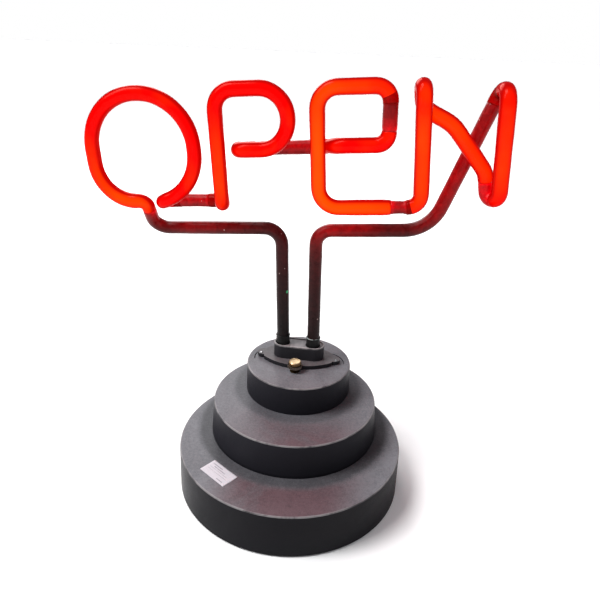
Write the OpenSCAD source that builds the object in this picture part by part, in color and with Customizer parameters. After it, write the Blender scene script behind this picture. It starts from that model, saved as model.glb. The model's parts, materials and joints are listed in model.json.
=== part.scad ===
// Table-top lighted advertising sign: bent glass tube letters standing in a three-tier round base.
// Millimetres, +Z up, origin on the table under the centre of the lowest tier, front towards -Y.

/* [Base] */
// Radius of the lowest tier at its top edge
tier1_r = 82.5; // [70:0.5:100]
// Radius of the middle tier at its top edge
tier2_r = 61.4; // [50:0.2:75]
// Radius of the top tier at its top edge
tier3_r = 39.8; // [36:0.2:48]
// Level of the lowest tier's top
tier1_top = 34.5; // [30:0.5:50]
// Level of the middle tier's top
tier2_top = 60.5; // [52:0.5:75]
// Level of the top tier's top
tier3_top = 83; // [80:0.5:86]
// How far the middle tier is set back
tier2_back = 16.3; // [0:0.1:18]
// How far the top tier is set back
tier3_back = 30.8; // [28:0.1:33]
// Wall of the moulded base
wall = 2.6; // [2:0.1:4]
// Bevel along each tier's top edge
rim_bevel = 1.1; // [0.5:0.1:2]

/* [Glass tube] */
// Outside diameter of the glass tube
tube_d = 9.5; // [8:0.1:9.8]
// Wall of the glass tube
tube_wall = 1; // [0.8:0.1:1.5]
// Lean of the whole word, left end down
letter_lean = 4.4; // [0:0.1:6]
// Distance of the letters in front of the screen plane through both legs
letter_ahead = 16; // [15:0.5:18]
// Level of the letters' tops, along the tube's centre line
letter_top = 283.3; // [281:0.1:286]
// Level of the letters' feet, along the tube's centre line
letter_foot = 208.6; // [207:0.1:210]

/* [Socket] */
// Sideways place of the tube socket on the top tier
socket_x = -0.7; // [-2:0.1:2]
// Distance of both legs behind the base's centre
leg_y = 34; // [32:0.5:36]
// Sideways place of the left leg
left_leg_x = -13.5; // [-14:0.1:-13]
// Sideways place of the right leg
right_leg_x = 10; // [9.5:0.1:10.5]
// Height of the collar above its flange
collar_h = 10.8; // [8:0.1:14]
// Length of the collar from side to side
collar_l = 39; // [38:0.5:42]
// Depth of the collar from front to back
collar_w = 15.5; // [15:0.5:18]
// Thickness of the flange plate
flange_t = 2.9; // [2.5:0.1:3]
// Half the distance between the flange's ear tips
flange_reach = 32.3; // [30:0.1:33]

/* [Clamp screw] */
// Radius of the brass head
head_r = 4.5; // [4:0.1:5]
// Radius of the clamp washer
washer_r = 5.4; // [5.2:0.1:6]
// Radius of the screw's shank
shank_r = 2; // [1.5:0.05:2]

/* [Power] */
// Radius of the power inlet's bore
inlet_r = 2.85; // [2.5:0.05:3.2]
// Tilt of the switch rocker from its middle position
rocker_tilt = 8; // [5:1:9]

/* [Hidden] */
$fn = 96;
tier1_flare = 0.7;
tier2_flare = 2;
tier3_flare = 0.4;
shell_z = 1.2;
roof_t = 2.8;
opening_lip = 1.5;
tube_r = tube_d / 2;
bore_r = tube_r - tube_wall;
bend_swell = 0.04;
bend_lap = 0.4;
back_y = leg_y;
front_y = leg_y - letter_ahead;
lean_z = 185;
lead_z = 189;
right_lead_z = 187.5;
gap = 0.3;
flange_z = tier3_top + gap;
flange_top = flange_z + flange_t;
collar_top = flange_top + collar_h;
boot_top = collar_top + 6.5;
pocket_r = 5.7;
pocket_d = 4;
leg_hole_r = tube_r + 0.25;
boot_bore_r = tube_r + bend_swell + 0.03;
tube_end_z = 50.2;
leg_bend_z = 106;
leg_bend_r = 40;
cap_r = 6;
cap_z = 48;
socket_bore_r = 6.5;
socket_r = 8.2;
socket_z = 43.5;
socket_floor = 4;
entry_r = 6.8;
roof_z = tier3_top - roof_t;
contact_r = 2.5;
contact_bore_r = 1.55;
cap_pin_r = 1.5;
screw_y = 15.2;
insert_r = 3.6;
insert_bore_r = shank_r + 0.05;
insert_z = 74;
washer_z = flange_top + gap;
washer_t = 2.1;
head_z = washer_z + washer_t + gap;
head_h = 2.7;
ear_r = 4.7;
pin_x = 29.5;
pin_y = 31.2;
pin_r = 1;
pin_hole_r = 1.07;
post_r = 4.5;
post_xy = [[65.3, 30.4], [-65.3, 30.4], [50.9, -50.9], [-50.9, -50.9]];
foot_xy = [[0, 0], [0, -68], [68, 0], [0, 64], [-68, 0]];
foot_r = 7;
cover_z = 1.5;
cover_t = 2.5;
panel_y = 76.4;
panel_t = 2.2;
panel_z = 18;
pocket_w = 44;
pocket_h = 22;
inlet_x = -11;
rocker_x = 9;
pivot_y = 74.5;
supply_x = 84;
supply_y = 46;
supply_h = 27;
supply_mid_y = 4;
supply_z = 8;
supply_ear_x = supply_x / 2 + 6;
cover_screw_r = 1.5;
wire_r = 0.9;
high_wire_r = 1.6;
groove_x = 19.1;
groove_r = 15.3;
groove_w = 0.8;
groove_depth = 1.2;
vent_pitch = 8;
vent_w = 3;
vent_l = 26;
label_x = -41.6;
label_y = -50.7;
label_turn = -34.7;
label_w = 24.8;
label_h = 13.2;
label_t = 0.2;

// ---------- Colours ----------
black = [0.09, 0.09, 0.1];
dark_grey = [0.2, 0.2, 0.21];
lit_red = [1, 0.13, 0.05];
paint_red = [0.22, 0.04, 0.05];
steel = [0.72, 0.73, 0.75];
brass = [0.8, 0.62, 0.28];

// ---------- Tube path helpers ----------
function unit(v) = v / norm(v);
function place(p) = [p.x, p.y, p.z];
function turn(a, b, c) = acos(unit(b - a) * unit(c - b));
function setback(a, b, c, r) = r * tan(turn(a, b, c) / 2);
function between(a, b, t) = a + (b - a) * t;
// A letter point swung about the middle of the lead wires' level; its fourth value is the bend radius.
function lean(x, y, z, r = 0) = [
  x * cos(letter_lean) - (z - lean_z) * sin(letter_lean),
  y,
  lean_z + x * sin(letter_lean) + (z - lean_z) * cos(letter_lean),
  r
];

module local(origin, x_dir, y_dir) {
  z_dir = cross(x_dir, y_dir);
  multmatrix([
    [x_dir.x, y_dir.x, z_dir.x, origin.x],
    [x_dir.y, y_dir.y, z_dir.y, origin.y],
    [x_dir.z, y_dir.z, z_dir.z, origin.z],
    [0, 0, 0, 1]
  ]) children();
}

// Round rod along straight stretches and true arcs; each bend is a hair fatter than the straights.
module rod(path, r) {
  last = len(path) - 1;
  for (i = [0 : last - 1]) {
    a = place(path[i]);
    b = place(path[i + 1]);
    along = unit(b - a);
    start = i == 0 ? 0 : setback(place(path[i - 1]), a, b, path[i][3]) - bend_lap;
    stop = i == last - 1 ? 0 : setback(a, b, place(path[i + 2]), path[i + 1][3]) - bend_lap;
    side = unit(cross(along, abs(along.y) < 0.9 ? [0, 1, 0] : [1, 0, 0]));
    local(a + along * start, side, cross(along, side))
      cylinder(r = r, h = norm(b - a) - start - stop);
  }
  if (last > 1) for (i = [1 : last - 1]) {
    a = place(path[i - 1]);
    b = place(path[i]);
    c = place(path[i + 1]);
    bend = path[i][3];
    ahead = unit(b - a);
    inward = unit(unit(c - b) - ahead * cos(turn(a, b, c)));
    local(b - ahead * setback(a, b, c, bend) + inward * bend, -inward, ahead)
      rotate_extrude(angle = turn(a, b, c)) translate([bend, 0]) circle(r = r + bend_swell);
  }
}

module glass(path, tint) {
  color(tint) difference() {
    rod(path, tube_r);
    rod(path, bore_r);
  }
}

// ---------- Tube path: corner points, each with its bend radius ----------
o_left = -140.5;
o_right = -69.2;
p_x = -53.4;
p_bar = 246.4;
e_x = 13.2;
e_bar = 248.2;
n_x = 79;
n_back_y = back_y - 3;
return_y = back_y + 4;

lead_corner = lean(-16.2, back_y, lead_z, 12);
o_rise = lean(-110.5, back_y, lead_z, 10);
o_start = lean(-107.5, front_y, 212.8, 5);
o_tail_front = lean(-97.8, front_y, 211.4, 7.3);
o_tail_back = lean(-97.8, back_y, 209.3, 7.3);
p_foot_back = lean(-57.5, back_y, 209, 7.5);
p_foot_front = lean(p_x, front_y, letter_foot + 0.9, 7.5);
p_end_front = lean(-40, front_y, p_bar, 7.5);
p_end_back = lean(-41.5, back_y, 244.5, 7.5);
e_dive = lean(12, back_y, 245.2, 10);
e_bar_start = lean(27, front_y, e_bar, 12);
e_bar_end = lean(57.8, front_y, e_bar, 8);
e_top_right = lean(58.8, front_y, letter_top, 9);
e_foot = lean(e_x - 0.4, front_y, letter_foot - 0.4, 13);
n_foot = lean(n_x, front_y, letter_foot, 8);
n_top_front = lean(n_x - 0.6, front_y, letter_top - 1.3, 6);
n_top_back = lean(n_x - 2, n_back_y, letter_top - 1.3, 6);
n_knee = lean(118.5, front_y + 7.5, 229, 12);
n_low_back = lean(119.8, front_y + 7.5, 212.5, 5);
n_low_front = lean(127, front_y, 212.5, 5);
n_high_front = lean(126.8, front_y, letter_top - 4.8, 8);
n_high_back = lean(125.6, return_y, letter_top - 5.8, 8);
return_foot = lean(86.5, back_y + 2, 187.6, 27);
right_corner = lean(8.4, back_y, right_lead_z, 11);

lit_o = between(o_rise, o_start, 0.7);
dark_o = between(o_tail_back, p_foot_back, 0.24);
lit_p = between(o_tail_back, p_foot_back, 0.76);
dark_p = between(p_end_back, e_dive, 0.2);
lit_e = between(e_dive, e_bar_start, 0.45);
dark_riser = between(e_bar_end, e_top_right, 0.25);
lit_riser = between(e_bar_end, e_top_right, 0.706);
dark_e = between(e_foot, n_foot, 0.713);
lit_n = between(e_foot, n_foot, 0.864);
dark_n = between(n_knee, n_low_back, 0.36);
lit_n_right = between(n_low_back, n_low_front, 0.5);
dark_n_right = between(n_high_back, return_foot, 0.1);

// ---------- Base ----------
module tier(top, foot, r, flare, back, bevel) {
  translate([0, back, foot]) rotate_extrude() polygon([
    [0, 0],
    [r + flare, 0],
    [r, top - foot - bevel],
    [r - bevel * 0.3, top - foot - bevel * 0.3],
    [r - bevel, top - foot],
    [0, top - foot]
  ]);
}

module tier_shell(top, foot, r, flare, back) {
  difference() {
    tier(top, foot, r, flare, back, rim_bevel);
    tier(top - roof_t, foot - 1, r - wall, flare, back, 0.5);
  }
}

// The way through a tier's top, just inside the wall of the tier that stands on it.
module tier_opening(top, r_above, back_above) {
  translate([0, back_above, top - roof_t - 1]) cylinder(r = r_above - wall - opening_lip, h = roof_t + 3);
}

module pocket_surround() {
  intersection() {
    translate([-pocket_w / 2 - 2, panel_y - panel_t - 1.2, panel_z - pocket_h / 2 - 2])
      cube([pocket_w + 4, 20, pocket_h + 7]);
    translate([0, 0, 2]) cylinder(r = tier1_r - 1, h = tier1_top - 3);
  }
}

module arc_groove(side, from, sweep) {
  translate([side * groove_x, tier3_back + 1, tier3_top - groove_depth])
    rotate([0, 0, from]) rotate_extrude(angle = sweep) translate([groove_r, 0]) square([groove_w, 3]);
}

module lower_tier() {
  color(black) difference() {
    union() {
      difference() {
        tier_shell(tier1_top, shell_z, tier1_r, tier1_flare, 0);
        tier_opening(tier1_top, tier2_r, tier2_back);
      }
      pocket_surround();
      for (p = post_xy) translate([p.x, p.y, cover_z + cover_t])
        cylinder(r = post_r, h = tier1_top - roof_t - cover_z - cover_t + 0.6);
    }
    translate([-pocket_w / 2, panel_y - panel_t, panel_z - pocket_h / 2]) cube([pocket_w, 30, pocket_h]);
    translate([-pocket_w / 2 + 2, panel_y - 12, panel_z - pocket_h / 2 + 2])
      cube([pocket_w - 4, 20, pocket_h - 4]);
    for (p = post_xy) translate([p.x, p.y, 0]) cylinder(r = cover_screw_r, h = 20);
  }
}

module middle_tier() {
  color(black) difference() {
    tier_shell(tier2_top, tier1_top, tier2_r, tier2_flare, tier2_back);
    tier_opening(tier2_top, tier3_r, tier3_back);
  }
}

module top_tier() {
  color(black) difference() {
    union() {
      tier_shell(tier3_top, tier2_top, tier3_r, tier3_flare, tier3_back);
      translate([socket_x, screw_y, insert_z - 1.5])
        cylinder(r = insert_r + 2, h = roof_z - insert_z + 2.2);
    }
    for (x = [left_leg_x, right_leg_x]) translate([x, leg_y, roof_z - 1]) cylinder(r = entry_r, h = 9);
    translate([socket_x, screw_y, insert_z]) cylinder(r = insert_r, h = 20);
    translate([socket_x, screw_y, insert_z - 4]) cylinder(r = shank_r + 0.5, h = 5);
    for (s = [-1, 1]) translate([socket_x + s * pin_x, pin_y, tier3_top - 5]) cylinder(r = pin_hole_r, h = 9);
    arc_groove(-1, 155, 43);
    arc_groove(1, 2, 68);
  }
}

module bottom_cover() {
  color(dark_grey) difference() {
    union() {
      translate([0, 0, cover_z]) cylinder(r = tier1_r - wall - 0.5, h = cover_t);
      for (s = [-1, 1]) translate([s * supply_ear_x, supply_mid_y, cover_z + 1])
        cylinder(r = 4.5, h = supply_z - cover_z - 1);
    }
    for (p = post_xy) translate([p.x, p.y, 0]) cylinder(r = 1.7, h = 6);
    for (p = foot_xy) translate([p.x, p.y, 0]) cylinder(r = foot_r + 0.1, h = cover_z + 1.7);
    for (s = [-1, 1]) translate([s * supply_ear_x, supply_mid_y, cover_z + 1.6])
      cylinder(r = 1.35, h = 10);
    for (i = [-3 : 3]) translate([i * vent_pitch - vent_w / 2, -56, 0]) cube([vent_w, vent_l, 6]);
  }
}

module cover_screws() {
  color(steel) for (p = post_xy) translate([p.x, p.y, 0.3]) difference() {
    union() {
      cylinder(r = 3, h = cover_z - 0.3);
      cylinder(r = cover_screw_r - 0.05, h = 13);
    }
    for (a = [0, 90]) rotate([0, 0, a]) translate([-1.6, -0.3, -1]) cube([3.2, 0.6, 1.7]);
  }
}

module rubber_feet() {
  color([0.05, 0.05, 0.05]) for (p = foot_xy) translate([p.x, p.y, 0]) {
    cylinder(r1 = foot_r - 0.8, r2 = foot_r, h = 0.8);
    translate([0, 0, 0.8]) cylinder(r = foot_r, h = cover_z + 0.9);
  }
}

// ---------- Rear panel, inlet and switch ----------
module rear_panel() {
  color(dark_grey) difference() {
    translate([-pocket_w / 2 + 0.2, panel_y - panel_t + 0.1, panel_z - pocket_h / 2 + 0.2])
      cube([pocket_w - 0.4, panel_t - 0.1, pocket_h - 0.4]);
    translate([inlet_x, panel_y + 5, panel_z]) rotate([90, 0, 0]) cylinder(r = 5.7, h = 12);
    translate([rocker_x - 10.1, panel_y - 9, panel_z - 6.6]) cube([20.2, 15, 13.2]);
  }
}

module inlet_body() {
  color(black) translate([inlet_x, 0, panel_z]) rotate([-90, 0, 0]) difference() {
    union() {
      translate([0, 0, panel_y]) cylinder(r = 7, h = 1.6);
      translate([0, 0, panel_y - 14]) cylinder(r = 5.6, h = 15);
    }
    translate([0, 0, panel_y - 10]) cylinder(r = inlet_r, h = 20);
    translate([0, 0, panel_y - 20]) cylinder(r = 1, h = 20);
  }
}

module inlet_pin() {
  color(steel) translate([inlet_x, panel_y - 15.5, panel_z]) rotate([-90, 0, 0]) cylinder(r = 1, h = 16);
}

module inlet_nut() {
  color(steel) translate([inlet_x, panel_y - panel_t, panel_z]) rotate([90, 0, 0]) difference() {
    cylinder(r = 8, h = 2.6, $fn = 6);
    translate([0, 0, -1]) cylinder(r = 5.65, h = 6);
  }
}

module switch_body() {
  color(black) difference() {
    union() {
      translate([rocker_x - 11.2, panel_y, panel_z - 8]) cube([22.4, 1.6, 16]);
      translate([rocker_x - 10, panel_y - 13, panel_z - 6.5]) cube([20, 14, 13]);
    }
    translate([rocker_x - 9, pivot_y - 5.5, panel_z - 5.5]) cube([18, 12, 11]);
    translate([rocker_x, pivot_y, panel_z - 6.2]) cylinder(r = 1.06, h = 12.4);
  }
}

module switch_rocker() {
  color([0.06, 0.06, 0.06]) translate([rocker_x, pivot_y, panel_z]) rotate([0, 0, rocker_tilt]) {
    translate([0, 0, -5.1]) linear_extrude(10.2)
      polygon([[-8, 0.6], [-8.1, 3.7], [0, 2.9], [8.1, 3.7], [8, 0.6], [3, -2.6], [-3, -2.6]]);
    translate([0, 0, -6]) cylinder(r = 1, h = 12);
  }
}

// ---------- Supply and wiring ----------
module supply_case() {
  color(dark_grey) translate([0, supply_mid_y, supply_z]) difference() {
    union() {
      translate([-supply_x / 2, -supply_y / 2, 0]) cube([supply_x, supply_y, supply_h]);
      translate([-supply_x / 2 - 11, -6, 0]) cube([supply_x + 22, 12, 2.4]);
    }
    translate([-supply_x / 2 + 2, -supply_y / 2 + 2, 2.4]) cube([supply_x - 4, supply_y - 4, supply_h]);
    for (s = [-1, 1]) translate([s * supply_ear_x, 0, -1]) cylinder(r = 1.7, h = 6);
  }
}

module supply_potting() {
  color([0.12, 0.11, 0.1]) translate([0, supply_mid_y, supply_z])
    translate([-supply_x / 2 + 2.05, -supply_y / 2 + 2.05, 2.45])
      cube([supply_x - 4.1, supply_y - 4.1, supply_h - 4.5]);
}

module supply_screws() {
  color(steel) for (s = [-1, 1]) translate([s * supply_ear_x, supply_mid_y, supply_z - 4.8]) {
    cylinder(r = 1.3, h = 8);
    translate([0, 0, 7.25]) cylinder(r = 3, h = 2);
  }
}

module high_voltage_leads() {
  lead_z0 = supply_z + supply_h - 2;
  color([0.75, 0.73, 0.68]) for (s = [-1, 1]) {
    leg_x = s < 0 ? left_leg_x : right_leg_x;
    rod([
      [s * 26, supply_mid_y + 10, lead_z0, 0],
      [s * 26, supply_mid_y + 10, 39, 4],
      [leg_x, leg_y, 38.5, 4],
      [leg_x, leg_y, socket_z - 0.6, 0]
    ], high_wire_r);
  }
}

module low_voltage_leads() {
  wall_y = supply_mid_y + supply_y / 2 + 0.2;
  color([0.55, 0.1, 0.08]) {
    rod([
      [inlet_x, panel_y - 15.6, panel_z, 0],
      [inlet_x, 50, panel_z, 6],
      [-20, wall_y, panel_z + 4, 0]
    ], wire_r);
    for (s = [-1, 1]) rod([
      [rocker_x + s * 5, panel_y - 13.1, panel_z, 0],
      [rocker_x + s * 5, 50, panel_z, 6],
      [rocker_x + s * 3, wall_y, panel_z + 4, 0]
    ], wire_r);
  }
}

module socket(x) {
  color([0.85, 0.84, 0.8]) translate([x, leg_y, 0]) difference() {
    union() {
      translate([0, 0, socket_z]) cylinder(r = socket_r, h = roof_z - socket_z);
      translate([0, 0, roof_z - 2]) cylinder(r = 10.5, h = 2);
    }
    translate([0, 0, socket_z + socket_floor]) cylinder(r = socket_bore_r, h = 60);
    translate([0, 0, socket_z - 1]) cylinder(r = contact_r, h = 10);
  }
}

module socket_left() {
  socket(left_leg_x);
}

module socket_right() {
  socket(right_leg_x);
}

module contact_clips() {
  color(brass) for (x = [left_leg_x, right_leg_x]) translate([x, leg_y, socket_z - 0.5]) difference() {
    cylinder(r = contact_r, h = socket_floor + 0.4);
    translate([0, 0, 0.6]) cylinder(r = contact_bore_r, h = 10);
  }
}

module thread_insert() {
  color(brass) translate([socket_x, screw_y, insert_z]) difference() {
    cylinder(r = insert_r, h = tier3_top - insert_z - 0.1);
    translate([0, 0, -1]) cylinder(r = insert_bore_r, h = 20);
  }
}

module price_label() {
  color([0.93, 0.92, 0.93]) translate([label_x, label_y, tier1_top]) rotate([0, 0, label_turn])
    translate([-label_w / 2, -label_h / 2, 0]) cube([label_w, label_h, label_t]);
}

// ---------- Tube socket carried by the glass ----------
module flange_outline() {
  intersection() {
    translate([0, -23.5]) circle(r = 40);
    translate([0, 23.5]) circle(r = 40);
    circle(r = 27);
  }
  square([flange_reach * 2 - ear_r * 2, ear_r * 2], center = true);
  for (s = [-1, 1]) translate([s * (flange_reach - ear_r), 0]) circle(r = ear_r);
}

module flange() {
  color(black) difference() {
    translate([socket_x, leg_y, flange_z]) linear_extrude(flange_t) flange_outline();
    for (x = [left_leg_x, right_leg_x]) translate([x, leg_y, flange_z - 1]) cylinder(r = leg_hole_r, h = 9);
    translate([socket_x, screw_y, flange_z - 1]) cylinder(r = shank_r + 0.5, h = 9);
    for (s = [-1, 1]) translate([socket_x + s * pin_x, pin_y, flange_z - 1]) cylinder(r = pin_r, h = 9);
  }
}

module stadium(l, w) {
  square([l - w, w], center = true);
  for (s = [-1, 1]) translate([s * (l - w) / 2, 0]) circle(r = w / 2);
}

module collar() {
  color(black) difference() {
    translate([socket_x, leg_y, flange_top]) linear_extrude(collar_h) stadium(collar_l, collar_w);
    translate([socket_x, leg_y, collar_top - 0.8]) linear_extrude(5) stadium(collar_l - 2, collar_w - 2);
    for (x = [left_leg_x, right_leg_x]) translate([x, leg_y, flange_top]) {
      translate([0, 0, -1]) cylinder(r = leg_hole_r, h = 30);
      translate([0, 0, collar_h - pocket_d]) cylinder(r = pocket_r, h = 30);
    }
  }
}

module boot(x) {
  color([0.04, 0.04, 0.04]) translate([x, leg_y, 0]) difference() {
    union() {
      translate([0, 0, collar_top - pocket_d]) cylinder(r = pocket_r, h = 1.6);
      translate([0, 0, collar_top - pocket_d])
        cylinder(r = boot_bore_r + 0.45, h = boot_top - collar_top + pocket_d);
    }
    translate([0, 0, collar_top - pocket_d - 1]) cylinder(r = boot_bore_r, h = 20);
  }
}

module boot_left() {
  boot(left_leg_x);
}

module boot_right() {
  boot(right_leg_x);
}

module locating_pins() {
  color(steel) for (s = [-1, 1]) translate([socket_x + s * pin_x, pin_y, tier3_top - 3.5]) {
    cylinder(r = pin_r, h = flange_top - tier3_top + 4);
    translate([0, 0, flange_top - tier3_top + 3.5]) cylinder(r1 = 1.4, r2 = 0.9, h = 0.7);
  }
}

module electrode_caps() {
  color([0.6, 0.6, 0.58]) for (x = [left_leg_x, right_leg_x]) translate([x, leg_y, 0]) {
    difference() {
      translate([0, 0, cap_z]) cylinder(r = cap_r, h = 16);
      translate([0, 0, tube_end_z - 0.1]) cylinder(r = tube_r + 0.03, h = 30);
    }
    translate([0, 0, socket_z + 0.6]) cylinder(r = cap_pin_r, h = cap_z - socket_z);
    translate([0, 0, cap_z + 1]) cylinder(r = 0.7, h = 8);
  }
}

module electrodes() {
  color(steel) for (x = [left_leg_x, right_leg_x]) translate([x, leg_y, cap_z + 9]) difference() {
    cylinder(r = 3, h = 24);
    translate([0, 0, 1.2]) cylinder(r = 2.6, h = 30);
  }
}

// ---------- Glass tube, drawn in the order the gas runs ----------
module glass_lead_left() {
  glass([
    [left_leg_x, leg_y, tube_end_z, 0],
    [left_leg_x, leg_y, leg_bend_z, leg_bend_r],
    lead_corner, o_rise, lit_o
  ], paint_red);
}

module glass_o() {
  glass([
    lit_o, o_start,
    lean(o_left, front_y, 212.4, 26),
    lean(o_left, front_y, letter_top, 35),
    lean(o_right, front_y, letter_top, 35),
    lean(o_right, front_y, 222.7, 33),
    o_tail_front, o_tail_back, dark_o
  ], lit_red);
}

module glass_link_o_p() {
  glass([dark_o, lit_p], paint_red);
}

module glass_p() {
  glass([
    lit_p, p_foot_back, p_foot_front,
    lean(p_x + 1, front_y, letter_top + 0.7, 13),
    lean(-5.4, front_y, letter_top + 0.9, 18.4),
    lean(-5.4, front_y, p_bar - 0.1, 18.4),
    p_end_front, p_end_back, dark_p
  ], lit_red);
}

module glass_link_p_e() {
  glass([dark_p, e_dive, lit_e], paint_red);
}

module glass_e_arm() {
  glass([lit_e, e_bar_start, e_bar_end, dark_riser], lit_red);
}

module glass_e_riser() {
  glass([dark_riser, lit_riser], paint_red);
}

module glass_e() {
  glass([lit_riser, e_top_right, lean(e_x + 0.3, front_y, letter_top + 0.1, 13), e_foot, dark_e], lit_red);
}

module glass_link_e_n() {
  glass([dark_e, lit_n], paint_red);
}

module glass_n_stem() {
  glass([
    lit_n, n_foot, n_top_front, n_top_back,
    lean(n_x - 0.5, n_back_y - 1, 268.5, 9),
    lean(97, front_y + 10, 258.5, 25),
    n_knee, dark_n
  ], lit_red);
}

module glass_n_foot() {
  glass([dark_n, n_low_back, lit_n_right], paint_red);
}

module glass_n_right() {
  glass([lit_n_right, n_low_front, n_high_front, n_high_back, dark_n_right], lit_red);
}

module glass_lead_right() {
  glass([
    dark_n_right, return_foot, right_corner,
    [right_leg_x, leg_y, leg_bend_z, leg_bend_r],
    [right_leg_x, leg_y, tube_end_z, 0]
  ], paint_red);
}

// ---------- Clamp washer and thumb screw ----------
module knurl(r, h, count) {
  for (i = [0 : count - 1]) rotate([0, 0, i * 360 / count])
    translate([r + 0.12, 0, -1]) cylinder(r = 0.3, h = h + 2);
}

module clamp_washer() {
  color([0.5, 0.44, 0.38]) translate([socket_x, screw_y, washer_z]) difference() {
    cylinder(r = washer_r, h = washer_t);
    translate([0, 0, -1]) cylinder(r = shank_r + 0.06, h = 9);
    knurl(washer_r, washer_t, 30);
  }
}

module thumb_screw() {
  color(brass) translate([socket_x, screw_y, 0]) {
    translate([0, 0, head_z]) difference() {
      union() {
        cylinder(r = head_r, h = head_h - 0.6);
        translate([0, 0, head_h - 0.6]) cylinder(r1 = head_r, r2 = head_r - 0.6, h = 0.6);
      }
      knurl(head_r, head_h, 24);
    }
    translate([0, 0, insert_z + 1]) cylinder(r = shank_r, h = head_z - insert_z);
  }
}

// ---------- assembly ----------
lower_tier();
middle_tier();
top_tier();
bottom_cover();
cover_screws();
rubber_feet();
rear_panel();
inlet_body();
inlet_pin();
inlet_nut();
switch_body();
switch_rocker();
supply_case();
supply_potting();
supply_screws();
high_voltage_leads();
low_voltage_leads();
socket_left();
socket_right();
contact_clips();
thread_insert();
price_label();
flange();
collar();
boot_left();
boot_right();
locating_pins();
electrode_caps();
electrodes();
glass_lead_left();
glass_o();
glass_link_o_p();
glass_p();
glass_link_p_e();
glass_e_arm();
glass_e_riser();
glass_e();
glass_link_e_n();
glass_n_stem();
glass_n_foot();
glass_n_right();
glass_lead_right();
clamp_washer();
thumb_screw();
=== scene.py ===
"""Looks of the table-top lighted advertising sign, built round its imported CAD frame.

The base and its fittings keep their CAD shapes and get procedural materials. The glass tube, the boots
round its legs and the price label are rebuilt as finer meshes in the places where their CAD nodes lie.
The rebuilt glass is a little fuller, with the swellings and necks of hand-bent tube.
Lengths are metres; the tube's route is written in millimetres and turned into metres once.
"""
import json
import math

import bpy
import numpy as np
from mathutils import Matrix, Vector


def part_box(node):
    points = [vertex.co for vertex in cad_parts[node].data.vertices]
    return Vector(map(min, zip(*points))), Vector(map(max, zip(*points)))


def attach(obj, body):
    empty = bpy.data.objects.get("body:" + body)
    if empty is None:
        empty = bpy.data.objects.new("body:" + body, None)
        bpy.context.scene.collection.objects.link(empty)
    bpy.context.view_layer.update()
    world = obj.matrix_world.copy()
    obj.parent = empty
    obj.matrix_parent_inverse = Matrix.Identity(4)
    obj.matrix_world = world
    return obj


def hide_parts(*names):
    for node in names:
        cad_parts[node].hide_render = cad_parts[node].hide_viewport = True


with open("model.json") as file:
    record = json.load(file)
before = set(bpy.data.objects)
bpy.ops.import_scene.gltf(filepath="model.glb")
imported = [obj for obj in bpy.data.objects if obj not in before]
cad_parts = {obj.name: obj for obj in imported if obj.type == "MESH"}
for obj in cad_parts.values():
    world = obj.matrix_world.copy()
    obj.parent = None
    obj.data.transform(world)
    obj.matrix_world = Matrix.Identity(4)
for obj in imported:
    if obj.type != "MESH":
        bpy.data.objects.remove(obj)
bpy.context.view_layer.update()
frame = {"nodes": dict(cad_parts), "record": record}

MM = 0.001
SLOT_OF = {part["node"]: part["material_slot"] for part in frame["record"]["subparts"]}


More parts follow.
